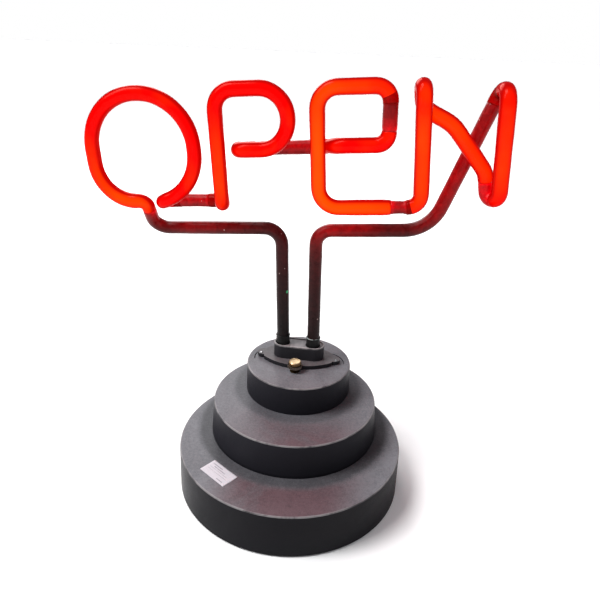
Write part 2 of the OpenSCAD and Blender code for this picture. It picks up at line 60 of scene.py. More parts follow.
# ---------- Node helpers ----------
class Paint:
    """One material under construction: the methods add nodes, and most of them return an output."""

    def __init__(self, name, **sockets):
        """Values that are uniform over the surface, such as Coat_Weight, go on the shader itself."""
        self.material = bpy.data.materials.new(name)
        self.material.use_nodes = True
        self.tree = self.material.node_tree
        self.shader = self.tree.nodes["Principled BSDF"]
        for label, value in sockets.items():
            self.shader.inputs[label.replace("_", " ")].default_value = value
        self.coordinates = self.tree.nodes.new("ShaderNodeTexCoord")

    def add(self, kind, inputs=(), **settings):
        node = self.tree.nodes.new("ShaderNode" + kind)
        for key, value in settings.items():
            setattr(node, key, value)
        for key, value in dict(inputs).items():
            self.put(node.inputs[key], value)
        return node

    def put(self, socket, value):
        """Links an output to the socket, or sets a plain value on it."""
        if isinstance(value, bpy.types.NodeSocket):
            self.tree.links.new(value, socket)
        else:
            socket.default_value = value

    def drive(self, label, value):
        """Links or sets one of the shader's own sockets."""
        self.put(self.shader.inputs[label], value)

    def noise(self, scale, detail=3.0, roughness=0.5, stretch=None, distortion=0.0):
        where = self.coordinates.outputs["Object"]
        if stretch:
            where = self.add("Mapping", {"Vector": where, "Scale": stretch}).outputs["Vector"]
        node = self.add("TexNoise", {"Vector": where, "Scale": scale, "Detail": detail,
                                     "Roughness": roughness, "Distortion": distortion})
        return node.outputs["Fac"]

    def cells(self, scale):
        """Distance to the nearest of many scattered points, in cell widths."""
        where = self.coordinates.outputs["Object"]
        return self.add("TexVoronoi", {"Vector": where, "Scale": scale}).outputs["Distance"]

    def maths(self, operation, a, b=0.0, clamp=False):
        node = self.add("Math", operation=operation, use_clamp=clamp)
        self.put(node.inputs[0], a)
        self.put(node.inputs[1], b)
        return node.outputs[0]

    def plus(self, a, b):
        return self.maths("ADD", a, b)

    def minus(self, a, b):
        return self.maths("SUBTRACT", a, b)

    def times(self, first, *others):
        product = first
        for factor in others:
            product = self.maths("MULTIPLY", product, factor)
        return product

    def absolute(self, value):
        return self.maths("ABSOLUTE", value)

    def span(self, value, low, high, to_low=0.0, to_high=1.0):
        """value's stretch from low to high, spread smoothly over to_low to to_high."""
        ends = {"From Min": low, "From Max": high, "To Min": to_low, "To Max": to_high}
        node = self.add("MapRange", {"Value": value, **ends}, interpolation_type="SMOOTHSTEP")
        return node.outputs["Result"]

    def mix(self, share, a, b):
        """Colour a where share is 0 and colour b where it is 1."""
        node = self.add("Mix", data_type="RGBA")
        self.put(node.inputs["Factor"], share)
        colours = [s for s in node.inputs if s.type == "RGBA"]
        for socket, value in zip(colours, (a, b)):
            self.put(socket, value if isinstance(value, bpy.types.NodeSocket) else (*value, 1.0))
        return next(s for s in node.outputs if s.type == "RGBA")

    def axis(self, label, source="Object"):
        split = self.add("SeparateXYZ", {"Vector": self.coordinates.outputs[source]})
        return split.outputs[label]

    def attribute(self, name):
        """A value stored on the mesh's points by point_values."""
        return self.add("Attribute", attribute_name=name).outputs["Fac"]

    def distance_to(self, point):
        node = self.add("VectorMath", operation="DISTANCE")
        self.put(node.inputs[0], self.coordinates.outputs["Object"])
        node.inputs[1].default_value = point
        return node.outputs["Value"]

    def bump(self, height, depth, strength, below=None):
        """A bumped normal; below is a coarser or finer one that it adds to."""
        node = self.add("Bump", {"Height": height, "Distance": depth, "Strength": strength})
        if below is not None:
            self.put(node.inputs["Normal"], below)
        return node.outputs["Normal"]


# ---------- Materials ----------
def moulded_plastic(name, dark, cool, warm, dust_and_sheen, rough, rim=None):
    """Black moulded plastic with a fine grain; what faces up has a film of dust and painted sheen, with
    painted shade beside the tiers' walls and a painted reflection of the red letters.
    """
    m = Paint(name, Specular_IOR_Level=0.075)
    up = m.span(m.axis("Z", "Normal"), 0.3, 0.96)
    clouds = m.noise(16, 5, 0.62, distortion=0.8)
    smears = m.noise(48, 4, 0.62, stretch=(1, 0.4, 1), distortion=1.5)
    grain = m.noise(1300, 2, 0.7)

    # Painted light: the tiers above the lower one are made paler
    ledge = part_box("lower_tier")[1].z
    raised = m.span(m.axis("Z"), ledge, ledge + 3 * MM)
    plastic = m.mix(raised, dark, [UPPER_PAINTED_LIGHT * c for c in dark])
    # The film on what faces up is partly dust and partly a painted sheen
    dust_sheen_and_shade, red_reflection = dust_and_painted_light(m, m.times(up, dust_and_sheen), clouds, smears, grain)
    with_film_and_reflection = m.mix(dust_sheen_and_shade, plastic, m.mix(red_reflection, cool, warm))
    specks = m.span(m.cells(620), 0.16, 0.05)
    dusted = m.mix(m.times(specks, up, 0.25), with_film_and_reflection, DUST_GREY)
    rubbed = m.span(m.noise(150, 5, 0.7), 0.6, 0.8, 0.0, 0.3)
    sides = m.mix(rubbed, dusted, [1.5 * c + 0.008 for c in dark])
    m.drive("Base Color", pale_edges_and_highlights(m, sides, smears, rim))

    uneven = m.plus(clouds, m.times(grain, 0.5))
    m.drive("Roughness", m.span(uneven, 0.4, 1.1, rough - 0.1, rough + 0.12))
    fine_bump = m.bump(grain, 0.12 * MM, 0.55)
    m.drive("Normal", m.bump(m.noise(140, 4, 0.6), 0.2 * MM, 0.3, fine_bump))
    return m.material


def dust_and_painted_light(m, dust_and_sheen_share, clouds, smears, grain):
    """How thick the film of dust and painted sheen lies on what faces up, and how strong the painted
    reflection of the red letters is
    there: both are thinned beside the walls of the tiers as painted shade."""
    patchy = m.span(m.plus(clouds, m.times(smears, 0.5)), 0.5, 1.05, 0.72, 1.05)
    mottle = m.noise(480, 4, 0.75)
    fine = m.times(m.span(grain, 0.3, 0.7, 0.86, 1.12), m.span(mottle, 0.32, 0.68, 0.85, 1.14))
    dust_sheen_and_shade = m.times(dust_and_sheen_share, patchy, fine)
    # Painted reflection of the red letters: on the front of the tops, round the middle, in cloudy patches
    forward = m.span(m.axis("Y"), RED_FROM_Y, RED_FULL_Y)
    off_centre = m.absolute(m.minus(m.axis("X"), RED_CENTRE_X))
    central = m.span(off_centre, RED_HALF_WIDTH, RED_FULL_WIDTH)
    red_reflection = m.times(forward, central, m.span(clouds, 0.3, 0.55, 0.45, 1.0))
    # Painted shade: the film and the red reflection are thinned in the corner at the foot of each wall
    for wall, stands_on, left in SHADED_WALLS:
        corner = wall_foot_shade(m, wall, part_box(stands_on)[1].z)
        dust_sheen_and_shade = m.times(dust_sheen_and_shade, m.span(corner, 0, 0.6, 1, left))
        red_reflection = m.times(red_reflection, m.span(corner, 0, 0.6, 1, RED_IN_CORNER))
    return dust_sheen_and_shade, red_reflection


def pale_edges_and_highlights(m, colour, smears, rim):
    """The colour with the edges of the tops rubbed pale and painted with a highlight, and the whole top
    of the part named as rim rubbed pale and painted with a highlight.
    """
    edge_highlight = 0.0
    for part, inward in HIGHLIT_EDGES.items():
        edge_highlight = m.maths("MAXIMUM", edge_highlight, top_edge(m, part, inward))
    edged = m.mix(m.times(edge_highlight, m.span(smears, 0.35, 0.6, 0.2, 0.75)), colour, EDGE_HIGHLIGHT_GREY)
    if rim is None:
        return edged
    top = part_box(rim)[1].z
    rim_highlight = m.span(m.axis("Z"), top - 0.35 * MM, top - 0.15 * MM)
    return m.mix(m.times(rim_highlight, m.span(smears, 0.3, 0.6, 0.35, 0.9)), edged, RIM_HIGHLIGHT_GREY)


def outside_of(m, part):
    """How far each point lies outside the widest ring of a round part."""
    low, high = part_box(part)
    across = m.minus(m.axis("X"), (low.x + high.x) / 2)
    along = m.minus(m.axis("Y"), (low.y + high.y) / 2)
    reach = m.maths("SQRT", m.plus(m.times(across, across), m.times(along, along)))
    return m.minus(reach, (high.x - low.x) / 2)


def top_edge(m, part, inward):
    """1 on the edge round a part's top that is rubbed pale and painted with a highlight, from its widest
    ring as far in as inward.
    """
    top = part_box(part)[1].z
    near_ring = m.span(outside_of(m, part), -inward - 0.5 * MM, -inward)
    below_top = m.span(m.axis("Z"), top - 0.02 * MM, top - 0.2 * MM)
    above_side = m.span(m.axis("Z"), top - 1.3 * MM, top - 0.9 * MM)
    return m.times(near_ring, below_top, above_side)


def wall_foot_shade(m, wall, floor_z):
    """1 in the corner at the foot of a round tier's wall, where painted shade goes, falling to 0 away
    from it.
    """
    corner = m.span(outside_of(m, wall), WALL_SHADE_REACH, 0)
    on_floor = m.span(m.absolute(m.minus(m.axis("Z"), floor_z)), 4 * MM, 2 * MM)
    return m.times(corner, on_floor)


def plain_plastic(name, dark, light, rough, grain_scale=900):
    """Small moulded parts: near-black, slightly mottled, with a fine grain and uneven gloss."""
    m = Paint(name, Specular_IOR_Level=0.25)
    mottle = m.span(m.noise(120, 5, 0.6), 0.35, 0.7)
    m.drive("Base Color", m.mix(mottle, dark, light))
    m.drive("Roughness", m.span(m.noise(260, 4, 0.6), 0.3, 0.7, rough - 0.08, rough + 0.1))
    m.drive("Normal", m.bump(m.noise(grain_scale, 3, 0.6), 0.08 * MM, 0.5))
    return m.material


def rubber(name, dark, light, lip_z=None):
    """Soft black rubber with a chalky bloom, and a painted highlight in places above lip_z."""
    m = Paint(name, Specular_IOR_Level=0.25)
    colour = m.mix(m.span(m.noise(300, 5, 0.7), 0.5, 0.8), dark, light)
    if lip_z is not None:
        lip_highlight = m.span(m.axis("Z"), lip_z, lip_z + 0.3 * MM)
        colour = m.mix(m.times(lip_highlight, m.span(m.noise(190, 2), 0.45, 0.6)), colour, LIP_HIGHLIGHT)
    m.drive("Base Color", colour)
    m.drive("Roughness", m.span(m.noise(700, 3, 0.5), 0.3, 0.7, 0.42, 0.62))
    m.drive("Normal", m.bump(m.noise(1800, 2, 0.5), 0.06 * MM, 0.6))
    return m.material


def metal(name, bright, dull, smooth, rough):
    """Metal with brushing lines and patches of tarnish."""
    m = Paint(name, Metallic=1.0)
    lines = m.noise(900, 2, 0.5, stretch=(1, 1, 14))
    tarnish = m.span(m.noise(220, 5, 0.65), 0.42, 0.72)
    m.drive("Base Color", m.mix(tarnish, bright, dull))
    m.drive("Roughness", m.span(m.plus(lines, tarnish), 0.4, 1.5, smooth, rough))
    m.drive("Normal", m.bump(lines, 0.04 * MM, 0.5))
    return m.material


def screw_metal(name, bright, dull, shade):
    """Brass whose head is painted brighter on the faces that look up, as a painted highlight; the shank
    under the head is painted dark as painted shade.
    """
    m = Paint(name, Metallic=1.0)
    lines = m.noise(700, 3, 0.6, stretch=(1, 1, 9))
    tarnish = m.span(m.noise(260, 5, 0.65), 0.42, 0.72)
    # Painted highlight: the faces of the head that look up are brighter
    lit_top = m.times(m.span(m.axis("Z", "Normal"), 0.45, 0.9), m.span(tarnish, 0, 1, 1, 0.6))
    head_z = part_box("clamp_washer")[1].z
    # Painted shade: the shank under the head is dark
    shade_below_head = m.span(m.axis("Z"), head_z + 1 * MM, head_z)
    m.drive("Base Color", m.mix(shade_below_head, m.mix(lit_top, dull, bright), shade))
    m.drive("Roughness", m.span(m.plus(lines, tarnish), 0.4, 1.5, 0.42, 0.62))
    m.drive("Normal", m.bump(lines, 0.05 * MM, 0.6))
    return m.material


def ceramic(name, clean, stained):
    """Glazed ceramic with faint stains."""
    m = Paint(name, Coat_Weight=0.6, Coat_Roughness=0.12)
    m.drive("Base Color", m.mix(m.span(m.noise(160, 5, 0.6), 0.5, 0.8), clean, stained))
    m.drive("Roughness", m.span(m.noise(500, 3), 0.3, 0.7, 0.2, 0.4))
    m.drive("Normal", m.bump(m.noise(350, 3), 0.08 * MM, 0.4))
    return m.material


def insulation(name, clean, soiled):
    """Wire insulation, soiled in patches."""
    m = Paint(name, Specular_IOR_Level=0.4)
    m.drive("Base Color", m.mix(m.span(m.noise(260, 5, 0.65), 0.45, 0.8), clean, soiled))
    m.drive("Roughness", m.span(m.noise(600, 3), 0.3, 0.7, 0.4, 0.6))
    m.drive("Normal", m.bump(m.noise(900, 2), 0.05 * MM, 0.5))
    return m.material


def label_paper(name, paper, shaded, ink):
    """A pale self-adhesive label with plain grey bars where a printed label has its lines."""
    m = Paint(name, Specular_IOR_Level=0.25)
    fibres = m.span(m.noise(1600, 4, 0.7, stretch=(1, 2.5, 1)), 0.35, 0.7)
    width, height = LABEL_SIZE
    x = m.axis("X")
    y = m.axis("Y")
    printed = 0.0
    for left, right, level, half in LABEL_BARS:
        after_left = m.maths("GREATER_THAN", x, left * width)
        before_right = m.maths("LESS_THAN", x, right * width)
        off_line = m.absolute(m.minus(y, level * height))
        bar = m.times(after_left, before_right, m.maths("LESS_THAN", off_line, half * height))
        printed = m.maths("MAXIMUM", printed, bar)
    worn = m.times(printed, m.span(m.noise(2600, 2), 0.3, 0.6, 0.25, 0.75))
    m.drive("Base Color", m.mix(worn, m.mix(fibres, paper, shaded), ink))
    m.drive("Roughness", m.span(fibres, 0, 1, 0.6, 0.85))
    m.drive("Normal", m.bump(fibres, 0.03 * MM, 0.5))
    return m.material


def lit_glass(name):
    """Red glass full of glowing gas: deep red on the flanks, orange where the glow is strongest, and
    blacked out where the paint runs on over its ends, with red there that is partly leaking glow and
    partly a painted reflection of the letters."""
    m = Paint(name, Roughness=0.2, Specular_IOR_Level=0.11, Coat_Weight=1.0, Coat_IOR=1.06,
              Coat_Roughness=0.15, Coat_Tint=COAT_RED, Emission_Strength=1.0)
    drift = m.span(m.noise(30, 3, 0.5), 0.3, 0.75, -0.18, 0.11)
    warm = m.maths("ADD", m.attribute("warm"), drift, clamp=True)
    facing = m.span(m.absolute(m.axis("Y", "Normal")), 0.42, 0.97)
    glow = m.mix(facing, GLOW_EDGE, m.mix(warm, GLOW_RED, GLOW_ORANGE))
    streaks = m.span(m.noise(90, 4, 0.6), 0.35, 0.75)
    bare = m.mix(streaks, BARE_RED, BARE_DEEP)
    cover = m.span(m.attribute("cover"), 0.35, 0.65)
    # The paint run on over the ends shows the same red, partly leaking glow and partly a painted
    # reflection of the letters
    paint, leak_and_reflection_glow = black_out(m, paint_strokes(m), COVERED_LEAK)
    m.drive("Emission Color", m.mix(cover, glow, leak_and_reflection_glow))
    m.drive("Base Color", m.mix(cover, bare, paint))
    m.drive("Normal", m.bump(m.noise(55, 2, 0.5), 0.4 * MM, 0.25))
    return m.material


def paint_strokes(m):
    """Brush strokes in the black-out paint."""
    return m.noise(240, 5, 0.65, distortion=0.6)


def black_out(m, strokes, level):
    """Black-out paint on the tube: its colour, and the red on it at the level, partly glow leaking
    through the paint and partly a painted reflection of the lit letters, with painted shade on the
    undersides.
    """
    thin = m.span(strokes, 0.35, 0.72, 0.72, 1.2)
    # Painted shade: the red is weaker on the undersides of the tube
    painted_top_light = m.span(m.axis("Z", "Normal"), -0.85, 0.35, 0.4, 1.0)
    leak_and_reflection = m.maths("MULTIPLY", m.times(level, painted_top_light), thin, clamp=True)
    coat = m.mix(m.span(strokes, 0.4, 0.7), PAINT_DARK, PAINT_LIGHT)
    return m.mix(leak_and_reflection, coat, PAINT_LEAK_AND_REFLECTION), m.mix(leak_and_reflection, BLACK, LEAK_AND_REFLECTION_RED)


def painted_glass(name):
    """Blacked-out glass: near the letters the glow leaks through and the red light of the letters is
    painted on as a reflection, the paint is chipped in places, and one leg has a dab of green on it."""
    m = Paint(name, Specular_IOR_Level=0.13, Emission_Strength=1.0)
    strokes = paint_strokes(m)
    paint, leak_and_reflection_glow = black_out(m, strokes, m.attribute("leak_and_reflection"))
    chips = m.span(m.plus(m.cells(150), m.times(m.noise(420, 3), 0.25)), 0.185, 0.165)
    chipped = m.times(chips, m.span(m.noise(36, 2), 0.5, 0.56))
    dab = m.span(m.distance_to(GREEN_DAB), 1.7 * MM, 1.2 * MM)
    m.drive("Base Color", m.mix(dab, m.mix(chipped, paint, PAINT_CHIP), DAB_GREEN))
    m.drive("Emission Color", leak_and_reflection_glow)
    m.drive("Roughness", m.span(strokes, 0.3, 0.75, 0.26, 0.45))
    m.drive("Normal", m.bump(strokes, 0.12 * MM, 0.5))
    return m.material


def floor_surface(name):
    """A plain pale floor; it glows faintly for the camera alone, so that it runs out into white."""
    m = Paint(name, Specular_IOR_Level=0.1, Roughness=0.9, Emission_Color=(1.0, 1.0, 1.0, 1.0))
    m.drive("Base Color", m.mix(m.noise(6, 3), FLOOR_LIGHT, FLOOR_SHADE))
    seen = m.add("LightPath").outputs["Is Camera Ray"]
    m.drive("Emission Strength", m.times(seen, FLOOR_LIFT))
    return m.material


# The glow, the bare glass and the black-out paint, with the red on the paint that is partly leaking glow
# and partly a painted reflection of the letters
BLACK = (0.0, 0.0, 0.0)
GLOW_RED = (1.25, 0.0, 0.0)
GLOW_EDGE = (0.62, 0.0, 0.0)
GLOW_ORANGE = (1.75, 0.31, 0.0)
LEAK_AND_REFLECTION_RED = (0.95, 0.0, 0.003)
COVERED_LEAK = 0.5
COAT_RED = (0.84, 0.32, 0.25, 1.0)
BARE_RED = (0.12, 0.001, 0.001)
BARE_DEEP = (0.08, 0.0005, 0.0005)
PAINT_DARK = (0.006, 0.0035, 0.0035)
PAINT_LIGHT = (0.013, 0.007, 0.007)
PAINT_LEAK_AND_REFLECTION = (0.06, 0.001, 0.002)
PAINT_CHIP = (0.34, 0.24, 0.22)
DAB_GREEN = (0.05, 0.5, 0.19)
# A painted highlight on the rolled lip of the boots
LIP_HIGHLIGHT = (0.3, 0.34, 0.33)

FLOOR_LIGHT = (0.9, 0.9, 0.9)
FLOOR_SHADE = (0.88, 0.88, 0.88)
FLOOR_LIFT = 0.05

# Moulded plastic: how much paler it is painted above the lower tier as painted light on the upper tiers,
# its dust, and its edges rubbed pale with a painted highlight
UPPER_PAINTED_LIGHT = 1.9
DUST_GREY = (0.3, 0.29, 0.29)
EDGE_HIGHLIGHT_GREY = (0.27, 0.255, 0.26)
RIM_HIGHLIGHT_GREY = (0.4, 0.38, 0.38)
# A painted reflection of the red letters, mixed into the film on the front of the tops: where it starts
# and where it is full, and the share of it left in the shaded corners
RED_FROM_Y = 15 * MM
RED_FULL_Y = -45 * MM
RED_CENTRE_X = 8 * MM
RED_HALF_WIDTH = 62 * MM
RED_FULL_WIDTH = 22 * MM
RED_IN_CORNER = 0.1
# Walls of the tiers with painted shade at their foot: the part with the wall, the part it stands on, the
# share of the film left beside it
SHADED_WALLS = (("middle_tier", "lower_tier", 0.42), ("top_tier", "middle_tier", 0.55))
WALL_SHADE_REACH = 15 * MM
# Parts whose top edges are rubbed pale and painted with a highlight, and how far in from their widest
# ring
HIGHLIT_EDGES = {"lower_tier": 4 * MM, "middle_tier": 4 * MM, "top_tier": 4 * MM, "collar": 20 * MM}

boot_low, boot_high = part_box("boot_left")
BOOT_TOP = boot_high.z
GREEN_DAB = ((boot_low.x + boot_high.x) / 2 + 3.5 * MM, (boot_low.y + boot_high.y) / 2 - 3.2 * MM,
             BOOT_TOP + 36.5 * MM)
LABEL_SIZE = (24.8 * MM, 13.2 * MM)
LABEL_TURN = math.radians(-34.7)
# Bars that stand for print: left and right as shares of the label's width, level and half height as
# shares of its height
LABEL_BARS = ((-0.40, -0.02, 0.30, 0.035), (-0.30, 0.16, 0.17, 0.03), (-0.40, 0.30, 0.05, 0.012),
              (-0.40, 0.36, -0.10, 0.012), (0.12, 0.36, -0.34, 0.03))

MATERIALS = {
    # cool is the colour of the film of dust and painted sheen, warm that of the painted reflection of the
    # red letters
    "base_plastic": moulded_plastic(
        "base_plastic", dark=(0.0078, 0.0076, 0.0098), cool=(0.17, 0.17, 0.185),
        warm=(0.12, 0.075, 0.085), dust_and_sheen=1.0, rough=0.42),
    "socket_plastic": moulded_plastic(
        "socket_plastic", dark=(0.013, 0.0125, 0.0145), cool=(0.13, 0.12, 0.125),
        warm=(0.12, 0.1, 0.105), dust_and_sheen=0.95, rough=0.38, rim="collar"),
    "dark_plastic": plain_plastic("dark_plastic", (0.012, 0.012, 0.013), (0.028, 0.027, 0.028), 0.45),
    "rocker_plastic": plain_plastic("rocker_plastic", (0.008, 0.008, 0.008), (0.016, 0.016, 0.017), 0.25),
    "potting": plain_plastic("potting", (0.02, 0.017, 0.014), (0.05, 0.042, 0.034), 0.6, grain_scale=300),
    "foot_rubber": rubber("foot_rubber", (0.012, 0.012, 0.012), (0.04, 0.039, 0.038)),
    "boot_rubber": rubber(
        "boot_rubber", (0.003, 0.003, 0.003), (0.008, 0.008, 0.008), lip_z=BOOT_TOP - 0.5 * MM),
    "steel": metal("steel", (0.3, 0.3, 0.31), (0.12, 0.115, 0.11), 0.25, 0.5),
    "cap_metal": metal("cap_metal", (0.68, 0.67, 0.64), (0.46, 0.44, 0.4), 0.3, 0.55),
    "brass": metal("brass", (0.42, 0.29, 0.13), (0.2, 0.12, 0.05), 0.3, 0.5),
    "screw_brass": screw_metal("screw_brass", (0.66, 0.49, 0.3), (0.26, 0.15, 0.07), (0.03, 0.02, 0.012)),
    "washer_metal": metal("washer_metal", (0.26, 0.21, 0.17), (0.1, 0.075, 0.055), 0.3, 0.5),
    "socket_ceramic": ceramic("socket_ceramic", (0.78, 0.75, 0.68), (0.55, 0.49, 0.4)),
    "white_insulation": insulation("white_insulation", (0.7, 0.68, 0.62), (0.42, 0.39, 0.33)),
    "red_insulation": insulation("red_insulation", (0.42, 0.03, 0.025), (0.2, 0.015, 0.012)),
    "label_paper": label_paper(
        "label_paper", paper=(0.56, 0.53, 0.57), shaded=(0.46, 0.44, 0.47), ink=(0.16, 0.15, 0.17)),
    "lit_glass": lit_glass("lit_glass"),
    "painted_glass": painted_glass("painted_glass"),
}


# ---------- Scene and mesh helpers ----------
def into_scene(name, data):
    """A new object in the scene that holds the data."""
    thing = bpy.data.objects.new(name, data)
    bpy.context.scene.collection.objects.link(thing)
    return thing


def mesh_piece(name, points, faces, slot, body, matrix=None):
    """A smooth-shaded mesh that rides on a CAD body and takes the material of a record slot."""
    mesh = bpy.data.meshes.new(name)
    mesh.from_pydata([tuple(p) for p in points], [], faces)
    mesh.validate()
    mesh.shade_smooth()
    mesh.materials.append(MATERIALS[slot])
    piece = into_scene(name, mesh)
    if matrix is not None:
        piece.matrix_world = matrix
    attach(piece, body)
    return piece


def band_faces(order, sides):
    """Quads between each ring and the next one in the order."""
    return [(a * sides + j, a * sides + (j + 1) % sides, b * sides + (j + 1) % sides, b * sides + j)
            for a, b in zip(order, order[1:]) for j in range(sides)]


def capped_faces(rings, sides):
    """Quads between neighbouring rings, and a flat cap at each end."""
    faces = band_faces(range(rings), sides)
    faces.append(tuple(reversed(range(sides))))
    faces.append(tuple(range((rings - 1) * sides, rings * sides)))
    return faces


# ---------- Glass tube ----------
# The route is in millimetres: the letters stand at FRONT_Y, the links between them and the leads at
# BACK_Y, and everything above the legs leans by LEAN round the level LEAN_Z
LEAN = math.radians(4.4)
LEAN_Z = 185
BACK_Y = 34
FRONT_Y = 18
LEG_X = (-13.5, 10)
LEG_BEND = (106, 40)
TUBE_END_Z = 50.2
ARC_STEP = 0.5

# The glass itself is in metres
LIT_R = 4.92 * MM
PAINTED_R = 4.75 * MM
TUBE_SIDES = 32
RING_STEP = 1.1 * MM
FEWEST_STEPS = 6
SMOOTHINGS = 3
# Slight waves from hand bending: (share of the radius, length); the room keeps the crests at full size
LONG_WAVE = (0.006, 7.5 * MM)
SHORT_WAVE = (0.005, 3.1 * MM)
WAVE_ROOM = 0.011
# Rounded ends: (length, share of the radius lost at the very end)
LIT_SHOULDER = (3.2 * MM, 0.06)
PAINTED_SHOULDER = (1.6 * MM, 0.045)
# How far a painted end reaches into the lit one, and how far the glass may stand proud of the CAD box
END_TUCK = 0.8 * MM
PROUD = 0.6 * MM
# A direction that no piece sets out along
FIRST_SIDE = (0.3, 0.8, 0.52)
# The red on the paint, partly glow leaking through it and partly a painted reflection of the letters:
# share of the stops' levels, extra at a lit neighbour and how far that reaches, and the level under which
# an end is the dark end of a leg
LEAK_SHARE = 0.66
LEAK_AT_END = 0.45
LEAK_FADE = 3.2 * MM
LEG_DARK = 0.2


def lean(x, y, z, r=0.0):
    """A point of the letters or their leads, swung by LEAN about LEAN_Z; r is its bend radius."""
    c = math.cos(LEAN)
    s = math.sin(LEAN)
    return np.array([x * c - (z - LEAN_Z) * s, y, LEAN_Z + x * s + (z - LEAN_Z) * c, r])


def leg(x, z, r=0.0):
    """A point of one of the two upright legs."""
    return np.array([x, BACK_Y, z, r])


def between(a, b, share):
    """The point of a straight where one piece ends and the next starts."""
    return np.append(a[:3] + (b[:3] - a[:3]) * share, 0.0)


LEAD_CORNER = lean(-16.2, BACK_Y, 189, 12)
O_RISE = lean(-110.5, BACK_Y, 189, 10)
O_START = lean(-107.5, FRONT_Y, 212.8, 5)
O_TAIL_FRONT = lean(-97.8, FRONT_Y, 211.4, 7.3)
O_TAIL_BACK = lean(-97.8, BACK_Y, 209.3, 7.3)
P_FOOT_BACK = lean(-57.5, BACK_Y, 209, 7.5)
P_FOOT_FRONT = lean(-53.4, FRONT_Y, 209.5, 7.5)
P_END_FRONT = lean(-40, FRONT_Y, 246.4, 7.5)
P_END_BACK = lean(-41.5, BACK_Y, 244.5, 7.5)
E_DIVE = lean(12, BACK_Y, 245.2, 10)
E_BAR_START = lean(27, FRONT_Y, 248.2, 12)
E_BAR_END = lean(57.8, FRONT_Y, 248.2, 8)
E_TOP_RIGHT = lean(58.8, FRONT_Y, 283.3, 9)
E_FOOT = lean(12.8, FRONT_Y, 208.2, 13)
N_FOOT = lean(79, FRONT_Y, 208.6, 8)
N_TOP_FRONT = lean(78.4, FRONT_Y, 282, 6)
N_TOP_BACK = lean(77, BACK_Y - 3, 282, 6)
N_KNEE = lean(118.5, FRONT_Y + 7.5, 229, 12)
N_LOW_BACK = lean(119.8, FRONT_Y + 7.5, 212.5, 5)
N_LOW_FRONT = lean(127, FRONT_Y, 212.5, 5)
N_HIGH_FRONT = lean(126.8, FRONT_Y, 278.5, 8)
N_HIGH_BACK = lean(125.6, BACK_Y + 4, 277.5, 8)
RETURN_FOOT = lean(86.5, BACK_Y + 2, 187.6, 27)
RIGHT_CORNER = lean(8.4, BACK_Y, 187.5, 11)

LIT_O = between(O_RISE, O_START, 0.7)
DARK_O = between(O_TAIL_BACK, P_FOOT_BACK, 0.24)
LIT_P = between(O_TAIL_BACK, P_FOOT_BACK, 0.76)
DARK_P = between(P_END_BACK, E_DIVE, 0.2)
LIT_E = between(E_DIVE, E_BAR_START, 0.45)
DARK_RISER = between(E_BAR_END, E_TOP_RIGHT, 0.25)
LIT_RISER = between(E_BAR_END, E_TOP_RIGHT, 0.706)
DARK_E = between(E_FOOT, N_FOOT, 0.713)
LIT_N = between(E_FOOT, N_FOOT, 0.864)
DARK_N = between(N_KNEE, N_LOW_BACK, 0.36)
LIT_N_RIGHT = between(N_LOW_BACK, N_LOW_FRONT, 0.5)
DARK_N_RIGHT = between(N_HIGH_BACK, RETURN_FOOT, 0.1)

